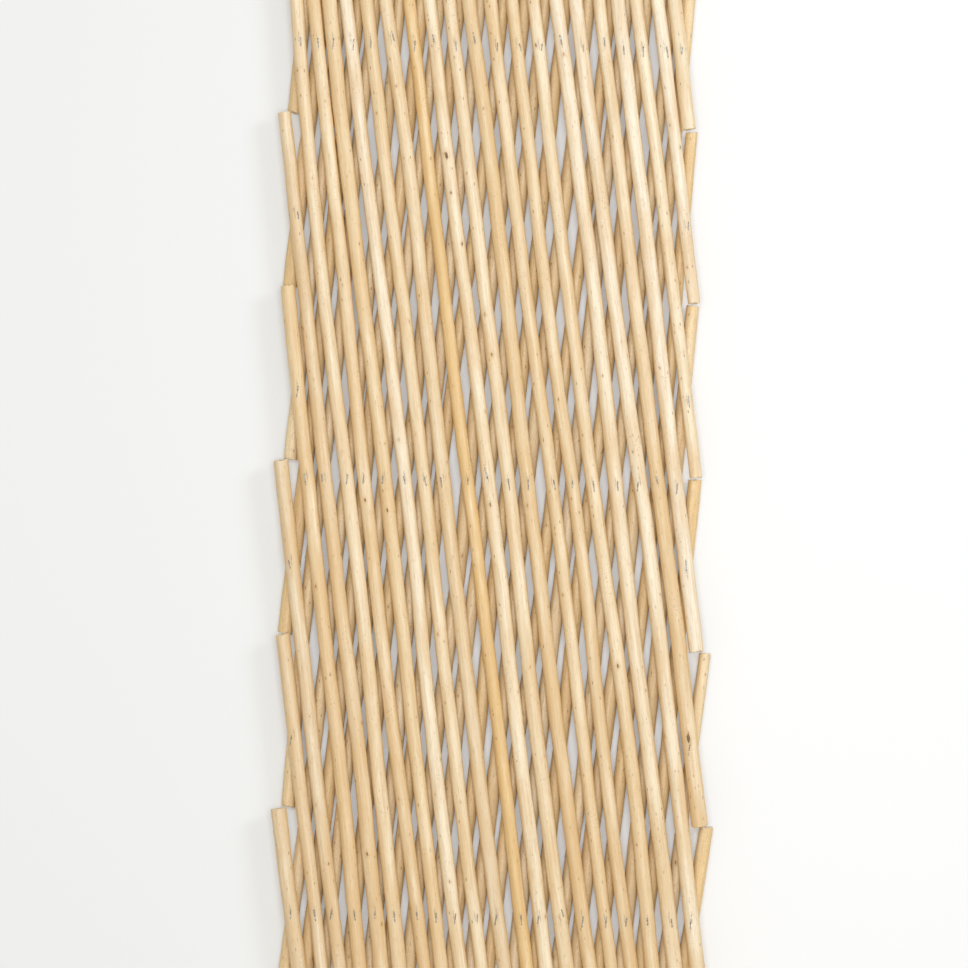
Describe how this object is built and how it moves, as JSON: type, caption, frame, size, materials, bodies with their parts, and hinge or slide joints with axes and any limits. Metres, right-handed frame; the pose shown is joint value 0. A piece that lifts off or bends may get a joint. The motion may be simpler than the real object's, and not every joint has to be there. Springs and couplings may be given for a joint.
{
  "type": "expanding willow trellis panel",
  "caption": "Expanding trellis of peeled willow rods in two layers, nailed where they cross, folded nearly shut; opens into a diamond lattice.",
  "frame": {"origin": "middle of the folded panel, on the surface that it lies on", "axes": "+X across the panel to the right, +Y up the panel, +Z out of its face"},
  "size_m": [0.3394, 0.8126, 0.0252],
  "materials": {
    "front_willow": "peeled willow, satin",
    "back_willow": "peeled willow, satin",
    "nail_steel": "plain drawn wire"
  },
  "bodies": {
    "back_rod_13": {"back_rod_13": "back_willow"},
    "front_rod_08": {"front_rod_08": "front_willow"},
    "front_rod_13": {"front_rod_13": "front_willow"},
    "front_rod_18": {"front_rod_18": "front_willow"},
    "back_rod_03": {"back_rod_03": "back_willow"},
    "back_rod_08": {"back_rod_08": "back_willow"},
    "back_rod_18": {"back_rod_18": "back_willow"},
    "back_rod_23": {"back_rod_23": "back_willow"},
    "front_rod_04": {"front_rod_04": "front_willow"},
    "front_rod_03": {"front_rod_03": "front_willow"},
    "front_rod_23": {"front_rod_23": "front_willow"},
    "front_rod_22": {"front_rod_22": "front_willow"},
    "back_rod_04": {"back_rod_04": "back_willow"},
    "back_rod_09": {"back_rod_09": "back_willow"},
    "back_rod_22": {"back_rod_22": "back_willow"},
    "back_rod_17": {"back_rod_17": "back_willow"},
    "front_rod_09": {"front_rod_09": "front_willow"},
    "front_rod_14": {"front_rod_14": "front_willow"},
    "front_rod_17": {"front_rod_17": "front_willow"},
    "front_rod_12": {"front_rod_12": "front_willow"},
    "back_rod_14": {"back_rod_14": "back_willow"},
    "back_rod_19": {"back_rod_19": "back_willow"},
    "back_rod_12": {"back_rod_12": "back_willow"},
    "back_rod_07": {"back_rod_07": "back_willow"},
    "front_rod_19": {"front_rod_19": "front_willow"},
    "front_rod_24": {"front_rod_24": "front_willow"},
    "front_rod_07": {"front_rod_07": "front_willow"},
    "front_rod_02": {"front_rod_02": "front_willow"},
    "back_rod_24": {"back_rod_24": "back_willow"},
    "back_rod_21": {"back_rod_21": "back_willow"},
    "back_rod_02": {"back_rod_02": "back_willow"},
    "back_rod_05": {"back_rod_05": "back_willow"},
    "front_rod_21": {"front_rod_21": "front_willow"},
    "front_rod_16": {"front_rod_16": "front_willow"},
    "front_rod_05": {"front_rod_05": "front_willow"},
    "front_rod_10": {"front_rod_10": "front_willow"},
    "back_rod_16": {"back_rod_16": "back_willow"},
    "back_rod_11": {"back_rod_11": "back_willow"},
    "back_rod_10": {"back_rod_10": "back_willow"},
    "back_rod_15": {"back_rod_15": "back_willow"},
    "front_rod_11": {"front_rod_11": "front_willow"},
    "front_rod_06": {"front_rod_06": "front_willow"},
    "front_rod_15": {"front_rod_15": "front_willow"},
    "front_rod_20": {"front_rod_20": "front_willow"},
    "back_rod_06": {"back_rod_06": "back_willow"},
    "back_rod_01": {"back_rod_01": "back_willow"},
    "back_rod_20": {"back_rod_20": "back_willow"},
    "back_rod_25": {"back_rod_25": "back_willow"},
    "front_rod_01": {"front_rod_01": "front_willow"},
    "front_rod_25": {"front_rod_25": "front_willow"}
  },
  "joints": [
    {"name": "fold", "type": "hinge", "parent": "back_rod_13", "child": "front_rod_08", "pos_m": [-0.04284, -0.339, 0.01253], "axis": [0, 0, 1], "range_deg": [0, 76]},
    {"name": "pivot_13_13", "type": "hinge", "parent": "back_rod_13", "child": "front_rod_13", "pos_m": [-0.00372, -0.00735, 0.01253], "axis": [0, 0, 1], "range_deg": [0, 76]},
    {"name": "pivot_18_13", "type": "hinge", "parent": "back_rod_13", "child": "front_rod_18", "pos_m": [0.03799, 0.32429, 0.01253], "axis": [0, 0, 1], "range_deg": [0, 76]},
    {"name": "pivot_08_03", "type": "hinge", "parent": "front_rod_08", "child": "back_rod_03", "pos_m": [-0.12087, 0.32829, 0.01253], "axis": [0, 0, -1], "range_deg": [0, 76]},
    {"name": "pivot_08_08", "type": "hinge", "parent": "front_rod_08", "child": "back_rod_08", "pos_m": [-0.08355, -0.00535, 0.01253], "axis": [0, 0, -1], "range_deg": [0, 76]},
    {"name": "pivot_13_18", "type": "hinge", "parent": "front_rod_13", "child": "back_rod_18", "pos_m": [0.03539, -0.341, 0.01253], "axis": [0, 0, -1], "range_deg": [0, 76]},
    {"name": "pivot_18_23", "type": "hinge", "parent": "front_rod_18", "child": "back_rod_23", "pos_m": [0.11812, -0.343, 0.01253], "axis": [0, 0, -1], "range_deg": [0, 76]},
    {"name": "pivot_04_03", "type": "hinge", "parent": "back_rod_03", "child": "front_rod_04", "pos_m": [-0.14811, 0.06298, 0.01253], "axis": [0, 0, 1], "range_deg": [0, 76]},
    {"name": "pivot_03_08", "type": "hinge", "parent": "back_rod_08", "child": "front_rod_03", "pos_m": [-0.12257, -0.337, 0.01253], "axis": [0, 0, 1], "range_deg": [0, 76]},
    {"name": "pivot_23_18", "type": "hinge", "parent": "back_rod_18", "child": "front_rod_23", "pos_m": [0.11542, 0.32229, 0.01253], "axis": [0, 0, 1], "range_deg": [0, 76]},
    {"name": "pivot_22_23", "type": "hinge", "parent": "back_rod_23", "child": "front_rod_22", "pos_m": [0.14835, -0.07768, 0.01253], "axis": [0, 0, 1], "range_deg": [0, 76]},
    {"name": "pivot_04_04", "type": "hinge", "parent": "front_rod_04", "child": "back_rod_04", "pos_m": [-0.14352, -0.00375, 0.01253], "axis": [0, 0, -1], "range_deg": [0, 76]},
    {"name": "pivot_04_09", "type": "hinge", "parent": "front_rod_04", "child": "back_rod_09", "pos_m": [-0.10552, -0.3374, 0.01253], "axis": [0, 0, -1], "range_deg": [0, 76]},
    {"name": "pivot_23_22", "type": "hinge", "parent": "front_rod_23", "child": "back_rod_22", "pos_m": [0.14966, 0.05538, 0.01253], "axis": [0, 0, -1], "range_deg": [0, 76]},
    {"name": "pivot_22_17", "type": "hinge", "parent": "front_rod_22", "child": "back_rod_17", "pos_m": [0.10024, 0.32269, 0.01253], "axis": [0, 0, -1], "range_deg": [0, 76]},
    {"name": "pivot_09_04", "type": "hinge", "parent": "back_rod_04", "child": "front_rod_09", "pos_m": [-0.10568, 0.32789, 0.01253], "axis": [0, 0, 1], "range_deg": [0, 76]},
    {"name": "pivot_14_09", "type": "hinge", "parent": "back_rod_09", "child": "front_rod_14", "pos_m": [-0.02775, 0.32589, 0.01253], "axis": [0, 0, 1], "range_deg": [0, 76]},
    {"name": "pivot_17_22", "type": "hinge", "parent": "back_rod_22", "child": "front_rod_17", "pos_m": [0.10258, -0.3426, 0.01253], "axis": [0, 0, 1], "range_deg": [0, 76]},
    {"name": "pivot_12_17", "type": "hinge", "parent": "back_rod_17", "child": "front_rod_12", "pos_m": [0.02185, -0.3406, 0.01253], "axis": [0, 0, 1], "range_deg": [0, 76]},
    {"name": "pivot_09_14", "type": "hinge", "parent": "front_rod_09", "child": "back_rod_14", "pos_m": [-0.02779, -0.3394, 0.01253], "axis": [0, 0, -1], "range_deg": [0, 76]},
    {"name": "pivot_14_19", "type": "hinge", "parent": "front_rod_14", "child": "back_rod_19", "pos_m": [0.05444, -0.3414, 0.01253], "axis": [0, 0, -1], "range_deg": [0, 76]},
    {"name": "pivot_17_12", "type": "hinge", "parent": "front_rod_17", "child": "back_rod_12", "pos_m": [0.02081, 0.32469, 0.01253], "axis": [0, 0, -1], "range_deg": [0, 76]},
    {"name": "pivot_12_07", "type": "hinge", "parent": "front_rod_12", "child": "back_rod_07", "pos_m": [-0.05862, 0.32669, 0.01253], "axis": [0, 0, -1], "range_deg": [0, 76]},
    {"name": "pivot_19_14", "type": "hinge", "parent": "back_rod_14", "child": "front_rod_19", "pos_m": [0.05318, 0.32389, 0.01253], "axis": [0, 0, 1], "range_deg": [0, 76]},
    {"name": "pivot_24_19", "type": "hinge", "parent": "back_rod_19", "child": "front_rod_24", "pos_m": [0.13311, 0.32189, 0.01253], "axis": [0, 0, 1], "range_deg": [0, 76]},
    {"name": "pivot_07_12", "type": "hinge", "parent": "back_rod_12", "child": "front_rod_07", "pos_m": [-0.05788, -0.3386, 0.01253], "axis": [0, 0, 1], "range_deg": [0, 76]},
    {"name": "pivot_02_07", "type": "hinge", "parent": "back_rod_07", "child": "front_rod_02", "pos_m": [-0.13611, -0.3366, 0.01253], "axis": [0, 0, 1], "range_deg": [0, 76]},
    {"name": "pivot_19_24", "type": "hinge", "parent": "front_rod_19", "child": "back_rod_24", "pos_m": [0.13667, -0.3434, 0.01253], "axis": [0, 0, -1], "range_deg": [0, 76]},
    {"name": "pivot_24_21", "type": "hinge", "parent": "front_rod_24", "child": "back_rod_21", "pos_m": [0.14998, 0.18843, 0.01253], "axis": [0, 0, -1], "range_deg": [0, 76]},
    {"name": "pivot_07_02", "type": "hinge", "parent": "front_rod_07", "child": "back_rod_02", "pos_m": [-0.13305, 0.32869, 0.01253], "axis": [0, 0, -1], "range_deg": [0, 76]},
    {"name": "pivot_02_05", "type": "hinge", "parent": "front_rod_02", "child": "back_rod_05", "pos_m": [-0.15298, -0.20314, 0.01253], "axis": [0, 0, -1], "range_deg": [0, 76]},
    {"name": "pivot_21_24", "type": "hinge", "parent": "back_rod_24", "child": "front_rod_21", "pos_m": [0.15053, -0.21074, 0.01253], "axis": [0, 0, 1], "range_deg": [0, 76]},
    {"name": "pivot_16_21", "type": "hinge", "parent": "back_rod_21", "child": "front_rod_16", "pos_m": [0.08703, -0.3422, 0.01253], "axis": [0, 0, 1], "range_deg": [0, 76]},
    {"name": "pivot_05_02", "type": "hinge", "parent": "back_rod_02", "child": "front_rod_05", "pos_m": [-0.14842, 0.19603, 0.01253], "axis": [0, 0, 1], "range_deg": [0, 76]},
    {"name": "pivot_10_05", "type": "hinge", "parent": "back_rod_05", "child": "front_rod_10", "pos_m": [-0.0925, 0.32749, 0.01253], "axis": [0, 0, 1], "range_deg": [0, 76]},
    {"name": "pivot_21_16", "type": "hinge", "parent": "front_rod_21", "child": "back_rod_16", "pos_m": [0.08605, 0.32309, 0.01253], "axis": [0, 0, -1], "range_deg": [0, 76]},
    {"name": "pivot_16_11", "type": "hinge", "parent": "front_rod_16", "child": "back_rod_11", "pos_m": [0.00412, 0.32509, 0.01253], "axis": [0, 0, -1], "range_deg": [0, 76]},
    {"name": "pivot_05_10", "type": "hinge", "parent": "front_rod_05", "child": "back_rod_10", "pos_m": [-0.08948, -0.3378, 0.01253], "axis": [0, 0, -1], "range_deg": [0, 76]},
    {"name": "pivot_10_15", "type": "hinge", "parent": "front_rod_10", "child": "back_rod_15", "pos_m": [-0.01124, -0.3398, 0.01253], "axis": [0, 0, -1], "range_deg": [0, 76]},
    {"name": "pivot_11_16", "type": "hinge", "parent": "back_rod_16", "child": "front_rod_11", "pos_m": [0.0033, -0.3402, 0.01253], "axis": [0, 0, 1], "range_deg": [0, 76]},
    {"name": "pivot_06_11", "type": "hinge", "parent": "back_rod_11", "child": "front_rod_06", "pos_m": [-0.07493, -0.3382, 0.01253], "axis": [0, 0, 1], "range_deg": [0, 76]},
    {"name": "pivot_15_10", "type": "hinge", "parent": "back_rod_10", "child": "front_rod_15", "pos_m": [-0.01307, 0.32549, 0.01253], "axis": [0, 0, 1], "range_deg": [0, 76]},
    {"name": "pivot_20_15", "type": "hinge", "parent": "back_rod_15", "child": "front_rod_20", "pos_m": [0.06937, 0.32349, 0.01253], "axis": [0, 0, 1], "range_deg": [0, 76]},
    {"name": "pivot_11_06", "type": "hinge", "parent": "front_rod_11", "child": "back_rod_06", "pos_m": [-0.07481, 0.32709, 0.01253], "axis": [0, 0, -1], "range_deg": [0, 76]},
    {"name": "pivot_06_01", "type": "hinge", "parent": "front_rod_06", "child": "back_rod_01", "pos_m": [-0.14624, 0.32909, 0.01253], "axis": [0, 0, -1], "range_deg": [0, 76]},
    {"name": "pivot_15_20", "type": "hinge", "parent": "front_rod_15", "child": "back_rod_20", "pos_m": [0.06949, -0.3418, 0.01253], "axis": [0, 0, -1], "range_deg": [0, 76]},
    {"name": "pivot_20_25", "type": "hinge", "parent": "front_rod_20", "child": "back_rod_25", "pos_m": [0.15172, -0.3438, 0.01253], "axis": [0, 0, -1], "range_deg": [0, 76]},
    {"name": "pivot_01_06", "type": "hinge", "parent": "back_rod_06", "child": "front_rod_01", "pos_m": [-0.15366, -0.3362, 0.01253], "axis": [0, 0, 1], "range_deg": [0, 76]},
    {"name": "pivot_25_20", "type": "hinge", "parent": "back_rod_20", "child": "front_rod_25", "pos_m": [0.1453, 0.32149, 0.01253], "axis": [0, 0, 1], "range_deg": [0, 76]}
  ],
  "couplings": [
    {"joint": "pivot_13_13", "follows": "fold", "ratio": 1},
    {"joint": "pivot_18_13", "follows": "fold", "ratio": 1},
    {"joint": "pivot_08_03", "follows": "fold", "ratio": 1},
    {"joint": "pivot_08_08", "follows": "fold", "ratio": 1},
    {"joint": "pivot_13_18", "follows": "fold", "ratio": 1},
    {"joint": "pivot_18_23", "follows": "fold", "ratio": 1},
    {"joint": "pivot_04_03", "follows": "fold", "ratio": 1},
    {"joint": "pivot_03_08", "follows": "fold", "ratio": 1},
    {"joint": "pivot_23_18", "follows": "fold", "ratio": 1},
    {"joint": "pivot_22_23", "follows": "fold", "ratio": 1},
    {"joint": "pivot_04_04", "follows": "fold", "ratio": 1},
    {"joint": "pivot_04_09", "follows": "fold", "ratio": 1},
    {"joint": "pivot_23_22", "follows": "fold", "ratio": 1},
    {"joint": "pivot_22_17", "follows": "fold", "ratio": 1},
    {"joint": "pivot_09_04", "follows": "fold", "ratio": 1},
    {"joint": "pivot_14_09", "follows": "fold", "ratio": 1},
    {"joint": "pivot_17_22", "follows": "fold", "ratio": 1},
    {"joint": "pivot_12_17", "follows": "fold", "ratio": 1},
    {"joint": "pivot_09_14", "follows": "fold", "ratio": 1},
    {"joint": "pivot_14_19", "follows": "fold", "ratio": 1},
    {"joint": "pivot_17_12", "follows": "fold", "ratio": 1},
    {"joint": "pivot_12_07", "follows": "fold", "ratio": 1},
    {"joint": "pivot_19_14", "follows": "fold", "ratio": 1},
    {"joint": "pivot_24_19", "follows": "fold", "ratio": 1},
    {"joint": "pivot_07_12", "follows": "fold", "ratio": 1},
    {"joint": "pivot_02_07", "follows": "fold", "ratio": 1},
    {"joint": "pivot_19_24", "follows": "fold", "ratio": 1},
    {"joint": "pivot_24_21", "follows": "fold", "ratio": 1},
    {"joint": "pivot_07_02", "follows": "fold", "ratio": 1},
    {"joint": "pivot_02_05", "follows": "fold", "ratio": 1},
    {"joint": "pivot_21_24", "follows": "fold", "ratio": 1},
    {"joint": "pivot_16_21", "follows": "fold", "ratio": 1},
    {"joint": "pivot_05_02", "follows": "fold", "ratio": 1},
    {"joint": "pivot_10_05", "follows": "fold", "ratio": 1},
    {"joint": "pivot_21_16", "follows": "fold", "ratio": 1},
    {"joint": "pivot_16_11", "follows": "fold", "ratio": 1},
    {"joint": "pivot_05_10", "follows": "fold", "ratio": 1},
    {"joint": "pivot_10_15", "follows": "fold", "ratio": 1},
    {"joint": "pivot_11_16", "follows": "fold", "ratio": 1},
    {"joint": "pivot_06_11", "follows": "fold", "ratio": 1},
    {"joint": "pivot_15_10", "follows": "fold", "ratio": 1},
    {"joint": "pivot_20_15", "follows": "fold", "ratio": 1},
    {"joint": "pivot_11_06", "follows": "fold", "ratio": 1},
    {"joint": "pivot_06_01", "follows": "fold", "ratio": 1},
    {"joint": "pivot_15_20", "follows": "fold", "ratio": 1},
    {"joint": "pivot_20_25", "follows": "fold", "ratio": 1},
    {"joint": "pivot_01_06", "follows": "fold", "ratio": 1},
    {"joint": "pivot_25_20", "follows": "fold", "ratio": 1}
  ]
}
